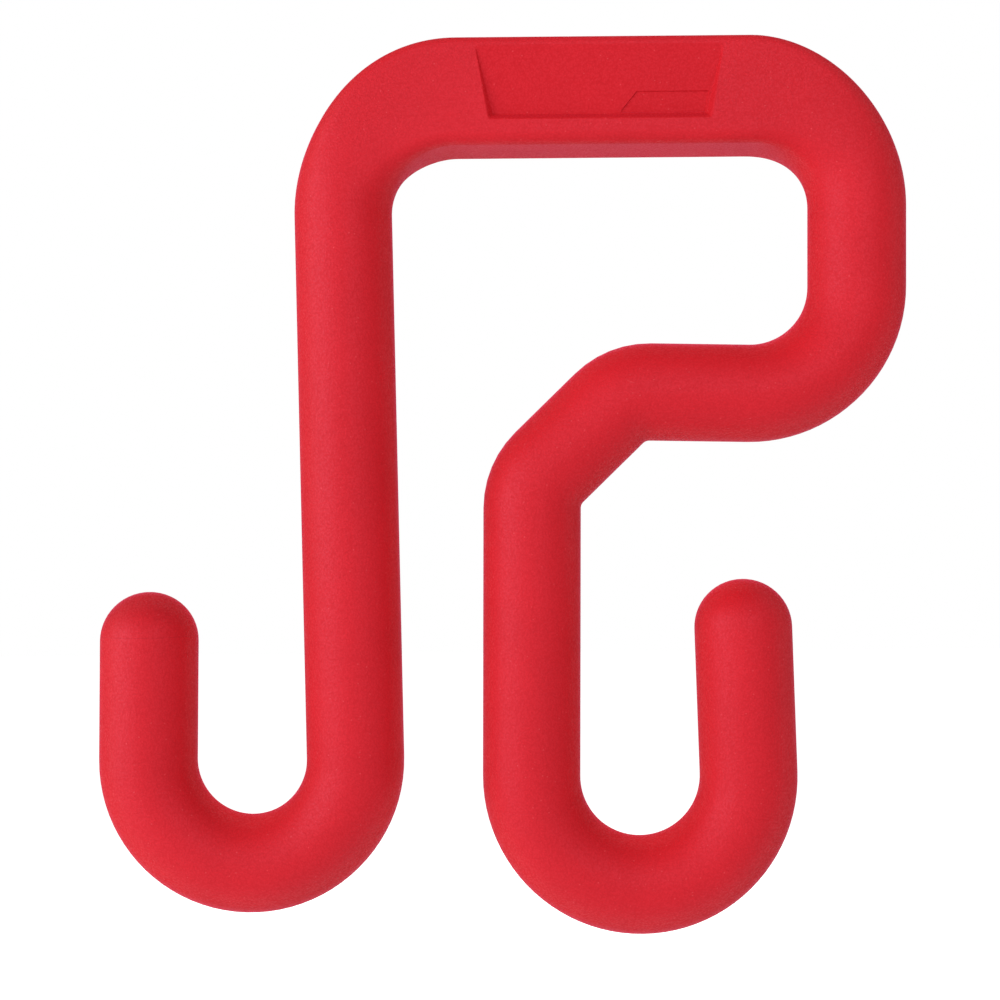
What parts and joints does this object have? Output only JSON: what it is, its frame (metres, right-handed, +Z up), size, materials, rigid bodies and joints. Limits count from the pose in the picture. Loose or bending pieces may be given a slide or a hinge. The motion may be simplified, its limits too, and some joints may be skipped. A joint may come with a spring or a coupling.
{
  "type": "bucket hook",
  "caption": "Moulded hook whose squared bar rests on a bucket's lip, its round rod bent down into a hook outside the bucket's wall and another inside it.",
  "frame": {"origin": "middle of the bar's flat underside, where the hook sits on the bucket's lip", "axes": "+Z up, +X along the bar from the long leg towards the return under the lip, -Y the front with the name panel"},
  "size_m": [0.2117, 0.0254, 0.2318],
  "materials": {
    "hook_body": "fine matte moulded texture, solid red"
  },
  "bodies": {
    "root": {"hook_body": "hook_body"}
  },
  "joints": []
}
